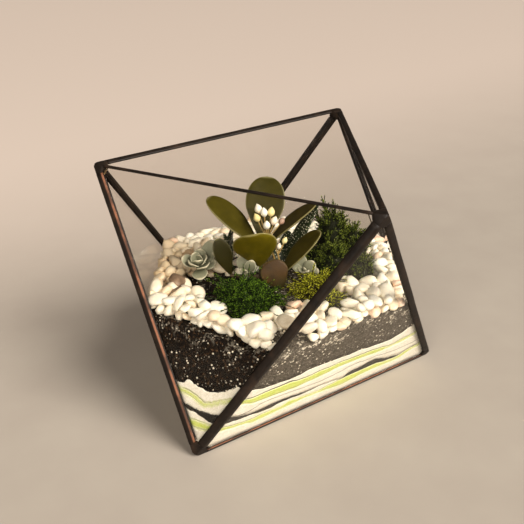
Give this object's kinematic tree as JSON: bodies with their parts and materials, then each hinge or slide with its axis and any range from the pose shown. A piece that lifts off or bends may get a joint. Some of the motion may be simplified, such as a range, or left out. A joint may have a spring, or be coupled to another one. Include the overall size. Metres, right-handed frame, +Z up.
{
  "type": "glass plant terrarium",
  "caption": "open-topped geometric planter of leaded glass with layered sand, soil, marble pebbles, small succulents and moss",
  "frame": {"origin": "on the surface that the terrarium stands on, under the middle of its bounding box, which is also under the middle of the octahedron", "axes": "+Z up out of the open mouth, +Y from the front top corner towards the back base corner, +X to the right as seen from the front"},
  "size_m": [0.182, 0.2082, 0.1478],
  "materials": {
    "clear_glass": "clear polished",
    "black_patina": "near-black patina on tin solder, satin",
    "white_sand": "fine matte grains",
    "green_sand": "fine dyed grains, matte",
    "black_sand": "fine dyed grains, matte",
    "potting_soil": "crumbly peat with white perlite specks, matte",
    "marble": "rounded marble pebbles, satin",
    "pale_stone": "tumbled, satin",
    "jade_leaf": "smooth waxy succulent leaf",
    "pale_leaf": "powdery succulent leaf, matte",
    "dark_leaf": "dark succulent leaf with pale bumps",
    "ivory_bud": "soft waxy bud, matte",
    "moss_green": "fine soft needles, matte",
    "moss_dark": "fine scaly sprigs, matte",
    "moss_yellow": "fine branching tufts, matte"
  },
  "bodies": {
    "root": {"bud_sprig_low": "ivory_bud", "bud_sprig_tall": "ivory_bud", "corner_base_1": "black_patina", "corner_base_2": "black_patina", "corner_base_3": "black_patina", "corner_top_1": "black_patina", "corner_top_2": "black_patina", "corner_top_3": "black_patina", "haworthia_left": "dark_leaf", "haworthia_right": "dark_leaf", "jade_plant": "jade_leaf", "moss_front": "moss_green", "moss_right": "moss_dark", "moss_yellow": "moss_yellow", "pane_back": "clear_glass", "pane_back_right": "clear_glass", "pane_base": "clear_glass", "pane_front": "clear_glass", "pane_front_left": "clear_glass", "pane_left": "clear_glass", "pane_right": "clear_glass", "pebble_bed": "marble", "rosette_left": "pale_leaf", "rosette_middle": "pale_leaf", "rosette_right": "pale_leaf", "sand_black": "black_sand", "sand_green_lower": "green_sand", "sand_green_upper": "green_sand", "sand_white_lower": "white_sand", "sand_white_middle": "white_sand", "sand_white_top": "white_sand", "sand_white_upper": "white_sand", "seam_base_front": "black_patina", "seam_base_left": "black_patina", "seam_base_right": "black_patina", "seam_rim_back": "black_patina", "seam_rim_front_left": "black_patina", "seam_rim_right": "black_patina", "seam_side_back_left": "black_patina", "seam_side_back_right": "black_patina", "seam_side_front": "black_patina", "seam_side_front_right": "black_patina", "seam_side_left": "black_patina", "seam_side_right": "black_patina", "soil": "potting_soil", "stone_flat": "pale_stone"}
  },
  "joints": []
}
